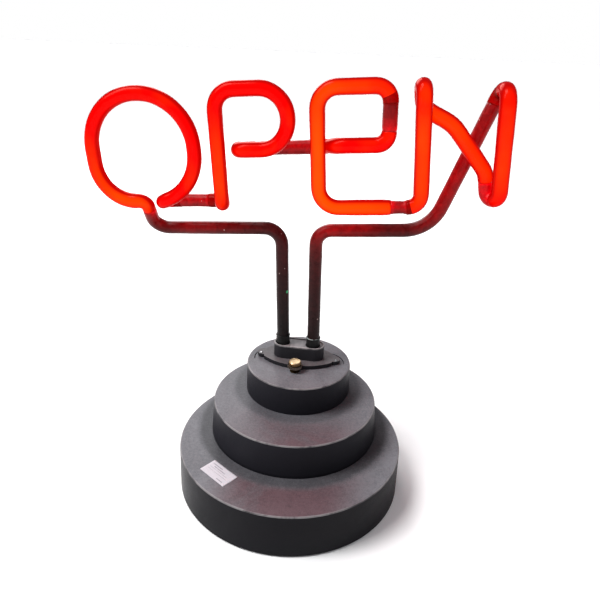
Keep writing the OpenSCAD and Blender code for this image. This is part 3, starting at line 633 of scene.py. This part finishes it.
# CAD node: (route, lit or painted, stops of (share of the way, strength of the warmth, or of the red on
# the paint that is partly leaking glow and partly painted reflection))
TUBE = {
    "glass_lead_left": (
        [leg(LEG_X[0], TUBE_END_Z), leg(LEG_X[0], *LEG_BEND), LEAD_CORNER, O_RISE, LIT_O],
        False, [(0, 0), (0.26, 0), (0.4, 0.025), (0.5, 0.06), (0.6, 0.1), (0.7, 0.22), (0.82, 0.4),
                (0.9, 0.2), (0.95, 0.35), (1, 0.6)]),
    "glass_o": (
        [LIT_O, O_START, lean(-140.5, FRONT_Y, 212.4, 26), lean(-140.5, FRONT_Y, 283.3, 35),
         lean(-69.2, FRONT_Y, 283.3, 35), lean(-69.2, FRONT_Y, 222.7, 33), O_TAIL_FRONT, O_TAIL_BACK,
         DARK_O],
        True, [(0, 0.6), (0.1, 0.75), (0.22, 0.3), (0.32, 0.05), (0.8, 0.05), (0.9, 0.06), (1, 0.0)]),
    "glass_link_o_p": ([DARK_O, LIT_P], False, [(0, 0.9), (0.5, 0.75), (1, 0.9)]),
    "glass_p": (
        [LIT_P, P_FOOT_BACK, P_FOOT_FRONT, lean(-52.4, FRONT_Y, 284, 13),
         lean(-5.4, FRONT_Y, 284.2, 18.4), lean(-5.4, FRONT_Y, 246.3, 18.4), P_END_FRONT, P_END_BACK,
         DARK_P],
        True, [(0, 0.0), (0.08, 0.3), (0.3, 0.45), (0.42, 0.05), (1, 0.0)]),
    "glass_link_p_e": ([DARK_P, E_DIVE, LIT_E], False, [(0, 0.55), (0.4, 0.75), (1, 0.95)]),
    "glass_e_arm": (
        [LIT_E, E_BAR_START, E_BAR_END, DARK_RISER], True, [(0, 0.15), (0.4, 0.12), (1, 0.1)]),
    "glass_e_riser": ([DARK_RISER, LIT_RISER], False, [(0, 0.95), (0.3, 0.62), (0.65, 0.42), (1, 0.42)]),
    "glass_e": (
        [LIT_RISER, E_TOP_RIGHT, lean(13.5, FRONT_Y, 283.4, 13), E_FOOT, DARK_E],
        True, [(0, 0.2), (0.15, 0.4), (0.3, 0.55), (0.5, 0.9), (0.8, 1.0), (1, 0.7)]),
    "glass_link_e_n": ([DARK_E, LIT_N], False, [(0, 0.85), (0.5, 0.45), (1, 0.9)]),
    "glass_n_stem": (
        [LIT_N, N_FOOT, N_TOP_FRONT, N_TOP_BACK, lean(78.5, BACK_Y - 4, 268.5, 9),
         lean(97, FRONT_Y + 10, 258.5, 25), N_KNEE, DARK_N],
        True, [(0, 0.25), (0.12, 0.6), (0.3, 0.6), (0.42, 0.15), (0.6, 0.3), (0.85, 0.45), (1, 0.3)]),
    "glass_n_foot": ([DARK_N, N_LOW_BACK, LIT_N_RIGHT], False, [(0, 1.0), (0.5, 1.1), (1, 1.2)]),
    "glass_n_right": (
        [LIT_N_RIGHT, N_LOW_FRONT, N_HIGH_FRONT, N_HIGH_BACK, DARK_N_RIGHT],
        True, [(0, 0.1), (0.25, 0.35), (0.5, 0.4), (0.75, 0.1), (1, 0.1)]),
    "glass_lead_right": (
        [DARK_N_RIGHT, RETURN_FOOT, RIGHT_CORNER, leg(LEG_X[1], *LEG_BEND), leg(LEG_X[1], TUBE_END_Z)],
        False, [(0, 0.5), (0.06, 0.58), (0.16, 0.62), (0.25, 0.5), (0.33, 0.16), (0.38, 0.14),
                (0.44, 0.4), (0.52, 0.55), (0.57, 0.2), (0.61, 0.08), (0.68, 0.04), (0.8, 0.01), (1, 0)]),
}
# Hand-bent swellings and necks: stops of (share of the way, share of the full radius)
SHAPED = {
    "glass_o": [(0, 0.97), (0.03, 0.98), (0.06, 1.07), (0.1, 1.05), (0.16, 1.01), (1, 1.01)],
    "glass_p": [(0, 1), (0.08, 1.05), (0.14, 1.02), (0.85, 1.02), (0.93, 1.07), (0.96, 1), (1, 1)],
    "glass_e": [(0, 1), (0.1, 1.03), (0.75, 1.03), (0.86, 1.06), (0.97, 1.06), (1, 1)],
    "glass_n_stem": [(0, 1), (0.1, 1.04), (0.9, 1.04), (1, 1)],
    "glass_n_right": [(0, 1), (0.1, 1.05), (0.6, 1.05), (0.8, 1), (1, 1)],
    "glass_e_arm": [(0, 0.94), (0.2, 1.05), (0.42, 1.0), (0.68, 1.01), (0.82, 1.07), (0.95, 1.0),
                    (1, 0.98)],
    "glass_link_e_n": [(0, 1), (0.2, 0.88), (0.8, 0.86), (1, 1)],
    "glass_n_foot": [(0, 1), (0.35, 0.95), (0.6, 0.95), (1, 1)],
    "glass_link_o_p": [(0, 1), (0.5, 0.96), (1, 1)],
    "glass_link_p_e": [(0, 1), (0.35, 0.97), (0.75, 1.04), (1, 1)],
}
# Black-out paint that runs on over the end of a lit piece: stops of (share of the way, cover)
COVER = {
    "glass_o": [(0, 0), (0.967, 0), (0.974, 1), (1, 1)],
    "glass_p": [(0, 1), (0.048, 1), (0.056, 0), (1, 0)],
    "glass_e": [(0, 1), (0.027, 1), (0.037, 0), (1, 0)],
    "glass_n_stem": [(0, 1), (0.014, 1), (0.022, 0), (1, 0)],
    "glass_n_right": [(0, 0), (0.845, 0), (0.86, 1), (1, 1)],
}
# Ends (first 0, last -1) where the paint runs on from one piece to the next: no neck and no extra glow
RUN_ON = (("glass_o", -1), ("glass_link_o_p", 0), ("glass_link_o_p", -1), ("glass_p", 0),
          ("glass_e_riser", -1), ("glass_e", 0), ("glass_link_e_n", -1), ("glass_n_stem", 0),
          ("glass_n_right", -1), ("glass_lead_right", 0))


def unit(v):
    """The direction of a vector, with length 1."""
    return v / np.linalg.norm(v)


def bend(before, corner, beyond):
    """Points of the true arc that rounds one corner of a route."""
    ahead = unit(corner[:3] - before[:3])
    after = unit(beyond[:3] - corner[:3])
    radius = corner[3]
    angle = math.acos(np.clip(ahead @ after, -1, 1))
    inward = unit(after - ahead * math.cos(angle))
    start = corner[:3] - ahead * radius * math.tan(angle / 2)
    centre = start + inward * radius
    steps = max(2, math.ceil(angle * radius / ARC_STEP))
    return [centre + radius * (ahead * math.sin(t) - inward * math.cos(t))
            for t in np.linspace(0, angle, steps + 1)]


def centre_line(route):
    """Evenly spaced points, in metres, along the straights and arcs of a route, and how far along it
    each one is."""
    points = [route[0][:3]]
    for before, corner, beyond in zip(route, route[1:], route[2:]):
        points += bend(before, corner, beyond)
    points.append(route[-1][:3])
    points = np.array(points) * MM
    travelled = np.append(0, np.cumsum(np.linalg.norm(np.diff(points, axis=0), axis=1)))
    steps = max(FEWEST_STEPS, round(travelled[-1] / RING_STEP))
    even = np.linspace(0, travelled[-1], steps + 1)
    line = np.column_stack([np.interp(even, travelled, points[:, k]) for k in range(3)])
    for _ in range(SMOOTHINGS):
        line[1:-1] = 0.25 * line[:-2] + 0.5 * line[1:-1] + 0.25 * line[2:]
    return line, even


def tube_radius(node, lit, along):
    """Radius at each ring: waves from hand bending, rounded ends except where the paint runs on, and the
    swellings and necks."""
    total = along[-1]
    long_share, long_step = LONG_WAVE
    short_share, short_step = SHORT_WAVE
    waves = long_share * np.sin(along / long_step + len(node)) + short_share * np.sin(along / short_step)
    radius = (LIT_R if lit else PAINTED_R) * (1 - WAVE_ROOM + waves)
    to_end = np.full_like(along, total)
    for end, distance in ((0, along), (-1, total - along)):
        if (node, end) not in RUN_ON:
            to_end = np.minimum(to_end, distance)
    shoulder, drop = LIT_SHOULDER if lit else PAINTED_SHOULDER
    near = np.clip(1 - to_end / shoulder, 0, 1)
    radius *= 1 - drop * (1 - np.sqrt(1 - near ** 2))
    if node in SHAPED:
        radius *= np.interp(along / total, *zip(*SHAPED[node]))
    return radius


def swept(line, radius):
    """Rings of points square to the line, carried along it without twisting."""
    ahead = np.gradient(line, axis=0)
    ahead /= np.linalg.norm(ahead, axis=1)[:, None]
    side = unit(np.cross(ahead[0], FIRST_SIDE))
    turns = np.linspace(0, 2 * math.pi, TUBE_SIDES, endpoint=False)
    points = []
    for where, forward, r in zip(line, ahead, radius):
        side = unit(side - forward * (side @ forward))
        other = np.cross(forward, side)
        points += [where + r * (math.cos(t) * side + math.sin(t) * other) for t in turns]
    return points


def point_values(piece, label, levels):
    """Stores one value per ring of a tube piece for its material to read."""
    data = piece.data.attributes.new(label, "FLOAT", "POINT")
    data.data.foreach_set("value", np.repeat(levels, TUBE_SIDES).astype(np.float32))


def glow_levels(node, lit, stops, along):
    """Strength at each ring: of the warmth where it is lit, of the leaking glow and painted red
    reflection where it is painted.
    """
    levels = np.interp(along / along[-1], *zip(*stops))
    if lit:
        return levels
    levels *= LEAK_SHARE
    for end, distance in ((0, along), (-1, along[-1] - along)):
        if stops[end][1] > LEG_DARK and (node, end) not in RUN_ON:
            levels += LEAK_AT_END * np.exp(-distance / LEAK_FADE)
    return levels


def tube_piece(node, route, lit, stops):
    """One stretch of the glass, from one paint border to the next."""
    line, along = centre_line(route)
    if not lit:
        for end, within in ((0, 1), (-1, -2)):
            if stops[end][1] > LEG_DARK:
                line[end] += END_TUCK * unit(line[end] - line[within])
    points = swept(line, tube_radius(node, lit, along))
    faces = capped_faces(len(line), TUBE_SIDES)
    piece = mesh_piece("tube_" + node.removeprefix("glass_"), points, faces, SLOT_OF[node], "tube_module")
    point_values(piece, "warm" if lit else "leak_and_reflection", glow_levels(node, lit, stops, along))
    if lit:
        cover = COVER.get(node, [(0, 0), (1, 0)])
        point_values(piece, "cover", np.interp(along / along[-1], *zip(*cover)))
    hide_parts(node)
    low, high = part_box(node)
    room = PROUD if lit else END_TUCK + PROUD
    for axis in range(3):
        assert min(p[axis] for p in points) > low[axis] - room, f"{node} leaves its CAD place"
        assert max(p[axis] for p in points) < high[axis] + room, f"{node} leaves its CAD place"


# ---------- Boots and label ----------
BOOT_SLEEVE_R = 5.25 * MM
BOOT_LIP = 0.55 * MM
BOOT_SIDES = 48
GROOVES = 4
GROOVES_FROM = 2.6 * MM
GROOVE_STEP = 1.3 * MM
GROOVE_DEPTH = 0.12 * MM


def boot(node):
    """A rubber sleeve round one leg: a foot in the collar's pocket, grooves, and a rolled lip on top."""
    low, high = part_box(node)
    centre = (low + high) / 2
    foot_r = (high.x - low.x) / 2
    profile = [(PAINTED_R, low.z), (foot_r - BOOT_LIP, low.z), (foot_r, low.z + BOOT_LIP),
               (foot_r, low.z + 2 * BOOT_LIP), (foot_r - BOOT_LIP, low.z + 3 * BOOT_LIP),
               (BOOT_SLEEVE_R, low.z + 3.6 * BOOT_LIP)]
    for k in range(GROOVES):
        level = low.z + GROOVES_FROM + k * GROOVE_STEP
        profile += [(BOOT_SLEEVE_R - GROOVE_DEPTH, level), (BOOT_SLEEVE_R, level + GROOVE_STEP / 2)]
    roll = high.z - 2 * BOOT_LIP
    roll_r = BOOT_SLEEVE_R - 0.3 * MM
    profile += [(BOOT_SLEEVE_R - 0.15 * MM, roll - 0.4 * BOOT_LIP)]
    profile += [(roll_r + BOOT_LIP * math.sin(t), roll + BOOT_LIP - BOOT_LIP * math.cos(t))
                for t in np.linspace(0.3, math.pi, 7)]
    profile += [(PAINTED_R, high.z - 0.3 * BOOT_LIP)]
    points = [(centre.x + r * math.cos(a), centre.y + r * math.sin(a), z)
              for r, z in profile for a in np.linspace(0, 2 * math.pi, BOOT_SIDES, endpoint=False)]
    faces = band_faces([*range(len(profile)), 0], BOOT_SIDES)
    piece = mesh_piece(node + "_sleeve", points, faces, SLOT_OF[node], "tube_module")
    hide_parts(node)


# The label's cells across and up; how strongly its corner lifts, and where that starts, from 0 in the
# middle to 1 at the corner; its ripples, in radians per metre
LABEL_GRID = (24, 14)
LABEL_THICK = 0.12 * MM
LABEL_GAP = 0.03 * MM
LIFT = 0.9 * MM
LIFT_FROM = 0.55
RIPPLE_HEIGHT = 0.02 * MM
RIPPLES = (900, 700)


def price_label():
    """A thin paper label, lying flat but for one lifted corner."""
    width, height = LABEL_SIZE
    across, up = LABEL_GRID
    row = across + 1
    ripple_x, ripple_y = RIPPLES

    def lift(x, y):
        corner = max(0.0, (x / width + y / height) - LIFT_FROM)
        ripple = math.sin(x * ripple_x) * math.cos(y * ripple_y)
        return LIFT * corner ** 1.5 + RIPPLE_HEIGHT * ripple

    top = [(x, y, LABEL_THICK + LABEL_GAP + lift(x, y))
           for y in np.linspace(-height / 2, height / 2, up + 1)
           for x in np.linspace(-width / 2, width / 2, row)]
    under = [(x, y, z - LABEL_THICK) for x, y, z in top]
    size = len(top)
    faces = []
    for j in range(up):
        for i in range(across):
            a = j * row + i
            faces.append((a, a + 1, a + row + 1, a + row))
            faces.append((size + a, size + a + row, size + a + row + 1, size + a + 1))
    rim = (list(range(row)) + [j * row + across for j in range(1, up + 1)]
           + [up * row + i for i in range(across - 1, -1, -1)] + [j * row for j in range(up - 1, 0, -1)])
    for a, b in zip(rim, rim[1:] + rim[:1]):
        faces.append((a, size + a, size + b, b))
    low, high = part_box("price_label")
    place = Matrix.Translation(((low.x + high.x) / 2, (low.y + high.y) / 2, low.z))
    piece = mesh_piece("price_label_paper", top + under, faces, SLOT_OF["price_label"], "base",
                       place @ Matrix.Rotation(LABEL_TURN, 4, "Z"))
    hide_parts("price_label")


# ---------- Stage, light and camera ----------
FLOOR_HALF = 12.0
AIR_BELOW = (0.24, 0.24, 0.25, 1)
AIR_ABOVE = (0.4, 0.4, 0.42, 1)
AIR_FULL_AT = 0.75
# Soft disc lamps: (name, place, aimed at, diameter, watts)
LAMPS = (("key", (-0.95, -0.35, 0.95), (0, 0.05, 0.05), 0.4, 4),
         ("back_sheen", (-0.6, 1.2, 0.9), (0, 0, 0.05), 0.9, 14))
SUN_STRENGTH = 2.8
SUN_SPREAD = math.radians(26)
SUN_TURN = (math.radians(9), math.radians(-32), 0)
SIGN_LIGHT = (1.0, 0.02, 0.01)
SIGN_WATTS = 0.045
SIGN_SOFTNESS = 22 * MM
LENS = 34.68
SENSOR = 36
NEAR = 0.01
# The camera's place, and its turns down, round its own axis and to the left
EYE = (0.0531, -0.35399, 0.31316)
EYE_PITCH = math.radians(24.676)
EYE_ROLL = math.radians(2.281)
EYE_TURN = math.radians(7.998)


def floor():
    half = FLOOR_HALF
    mesh = bpy.data.meshes.new("floor")
    corners = [(-half, -half, 0), (half, -half, 0), (half, half, 0), (-half, half, 0)]
    mesh.from_pydata(corners, [], [(0, 1, 2, 3)])
    mesh.materials.append(floor_surface("floor_surface"))
    into_scene("floor", mesh)


def studio_air():
    """A white surround for the eye and a softer, brighter-above light for the surfaces."""
    world = bpy.data.worlds.new("studio_air")
    world.use_nodes = True
    bpy.context.scene.world = world
    tree = world.node_tree
    tree.nodes.clear()
    where, split, ramp, path, lit, seen, both, out = (
        tree.nodes.new("ShaderNode" + kind)
        for kind in ("TexCoord", "SeparateXYZ", "ValToRGB", "LightPath", "Background", "Background",
                     "MixShader", "OutputWorld"))
    below, above = ramp.color_ramp.elements
    below.position = 0.0
    below.color = AIR_BELOW
    above.position = AIR_FULL_AT
    above.color = AIR_ABOVE
    seen.inputs["Color"].default_value = (1, 1, 1, 1)
    link = tree.links.new
    link(where.outputs["Generated"], split.inputs[0])
    link(split.outputs["Z"], ramp.inputs[0])
    link(ramp.outputs[0], lit.inputs["Color"])
    link(path.outputs["Is Camera Ray"], both.inputs[0])
    link(lit.outputs[0], both.inputs[1])
    link(seen.outputs[0], both.inputs[2])
    link(both.outputs[0], out.inputs[0])


def area_light(name, place, target, size, power):
    data = bpy.data.lights.new(name, "AREA")
    data.shape = "DISK"
    data.size = size
    data.energy = power
    lamp = into_scene(name, data)
    lamp.location = place
    lamp.rotation_mode = "QUATERNION"
    lamp.rotation_quaternion = (Vector(target) - Vector(place)).to_track_quat("-Z", "Y")
    lamp.visible_camera = False


def sign_glow():
    """The red light that the lit letters throw on the base and the floor."""
    for node, slot in SLOT_OF.items():
        if slot != "lit_glass":
            continue
        low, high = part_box(node)
        data = bpy.data.lights.new("glow_" + node, "POINT")
        data.energy = SIGN_WATTS
        data.color = SIGN_LIGHT
        data.shadow_soft_size = SIGN_SOFTNESS
        lamp = into_scene("glow_" + node, data)
        lamp.location = (low + high) / 2
        lamp.visible_camera = False
        lamp.visible_glossy = False


def lights():
    studio_air()
    for lamp in LAMPS:
        area_light(*lamp)
    sun = bpy.data.lights.new("even", "SUN")
    sun.energy = SUN_STRENGTH
    sun.angle = SUN_SPREAD
    into_scene("even", sun).rotation_euler = SUN_TURN
    sign_glow()


def camera():
    """A view from the front, a little from the right and above, turned back towards the base."""
    data = bpy.data.cameras.new("camera")
    data.sensor_width = SENSOR
    data.lens = LENS
    data.clip_start = NEAR
    eye = into_scene("camera", data)
    from_straight_down = math.pi / 2 - EYE_PITCH
    eye.matrix_world = (Matrix.Translation(EYE) @ Matrix.Rotation(EYE_TURN, 4, "Z")
                        @ Matrix.Rotation(from_straight_down, 4, "X")
                        @ Matrix.Rotation(EYE_ROLL, 4, "Z"))
    bpy.context.scene.camera = eye
    bpy.context.scene.view_settings.view_transform = "Standard"


# ---------- The object ----------
SOFT_EDGE = 0.3 * MM
SHARP = math.radians(50)

for node, obj in frame["nodes"].items():
    for material_slot in obj.material_slots:
        material_slot.material = MATERIALS[SLOT_OF[node]]

for node in ("collar", "flange"):
    edge = frame["nodes"][node].modifiers.new("soft_edges", "BEVEL")
    edge.width = SOFT_EDGE
    edge.segments = 2
    edge.limit_method = "ANGLE"
    edge.angle_limit = SHARP

for node, (route, lit, stops) in TUBE.items():
    tube_piece(node, route, lit, stops)
boot("boot_left")
boot("boot_right")
price_label()

floor()
lights()
camera()
